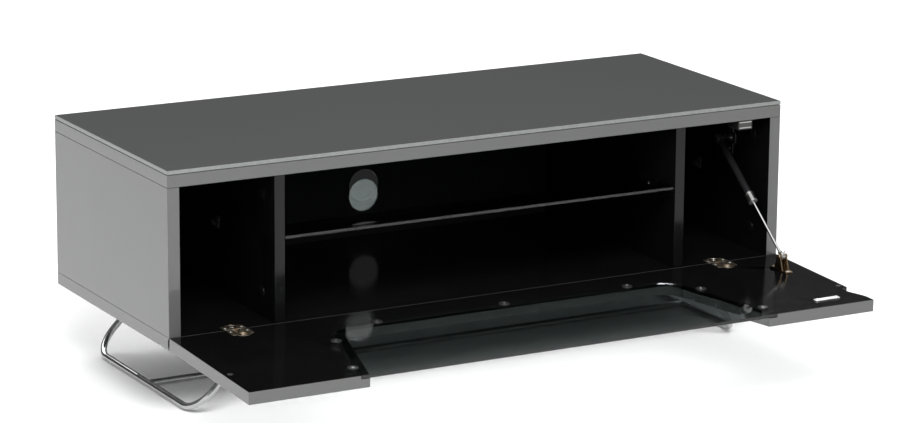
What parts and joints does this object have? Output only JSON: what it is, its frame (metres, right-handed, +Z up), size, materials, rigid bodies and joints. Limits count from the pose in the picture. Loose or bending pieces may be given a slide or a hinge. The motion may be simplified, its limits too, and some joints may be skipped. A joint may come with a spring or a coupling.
{
  "type": "media cabinet",
  "caption": "Low media cabinet on splayed chrome sled legs, with a glass top, divided bays, a glass shelf and a drop-down flap with a glass window and a damped stay.",
  "frame": {"origin": "on the floor, at the middle of the box that the cabinet fills at rest with its flap open", "axes": "+Z up, the flap opens towards -Y, +X to the right seen from the front"},
  "size_m": [1, 0.65, 0.362],
  "materials": {
    "lacquer": "gloss",
    "black_board": "satin",
    "back_painted_glass": "gloss",
    "smoked_glass": "gloss",
    "chrome": "polished",
    "zinc": "satin",
    "bronze_zinc": "satin",
    "black_enamel": "satin",
    "steel": "satin",
    "black_plastic": "matte",
    "dark_plastic": "satin",
    "clear_rubber": "satin",
    "black_rubber": "matte",
    "ferrite": "matte",
    "beech": "matte"
  },
  "bodies": {
    "carcass": {"top_panel": "lacquer", "top_glass": "back_painted_glass", "glass_bond_strips": "clear_rubber", "bottom_panel": "lacquer", "side_panel_left": "lacquer", "side_panel_right": "lacquer", "divider_left": "black_board", "divider_right": "black_board", "back_panel": "black_board", "glass_shelf": "smoked_glass", "shelf_supports": "steel", "cam_locks": "zinc", "cam_covers": "dark_plastic", "cam_bolts": "steel", "dowels": "beech", "cable_clips": "black_plastic", "leg_left": "chrome", "leg_right": "chrome", "cross_bar": "chrome", "leg_plates": "chrome", "leg_screws": "steel", "leg_glides": "clear_rubber", "hinge_base_left": "zinc", "hinge_base_right": "zinc", "hinge_pins": "steel", "hinge_base_screws": "steel", "stay_upper_bracket": "black_enamel", "stay_upper_screws": "steel", "catch_body": "black_plastic", "catch_poles": "steel", "catch_magnet": "ferrite", "catch_screws": "steel"},
    "flap": {"flap_board": "lacquer", "flap_glass": "smoked_glass", "glass_clips": "dark_plastic", "glass_clip_screws": "steel", "hinge_arm_left": "zinc", "hinge_arm_right": "zinc", "hinge_arm_screws": "steel", "stay_lower_bracket": "bronze_zinc", "stay_lower_screws": "steel", "striker": "steel", "striker_screws": "steel", "flap_bumpers": "black_rubber"},
    "stay_tube": {"stay_cylinder": "black_enamel", "stay_sleeve": "steel", "stay_top_socket": "black_plastic"},
    "stay_plunger": {"stay_rod": "chrome", "stay_piston": "steel", "stay_end_fitting": "steel", "stay_end_pin": "steel"}
  },
  "joints": [
    {"name": "flap_hinge", "type": "hinge", "parent": "carcass", "child": "flap", "pos_m": [0, -0.08092, 0.1171], "axis": [-1, 0, 0], "range_deg": [0, 92]},
    {"name": "stay_swing", "type": "hinge", "parent": "carcass", "child": "stay_tube", "pos_m": [0.46, 0.03298, 0.288], "axis": [1, 0, 0], "range_deg": [0, 13.2]},
    {"name": "stay_slide", "type": "slide", "parent": "stay_tube", "child": "stay_plunger", "axis": [0, 0.7804, 0.6252], "range_m": [0, 0.0932]}
  ],
  "couplings": [
    {"joint": "stay_swing", "follows": "flap_hinge", "ratio": 0.14312},
    {"joint": "stay_slide", "follows": "flap_hinge", "m_per_rad": 0.057966}
  ]
}
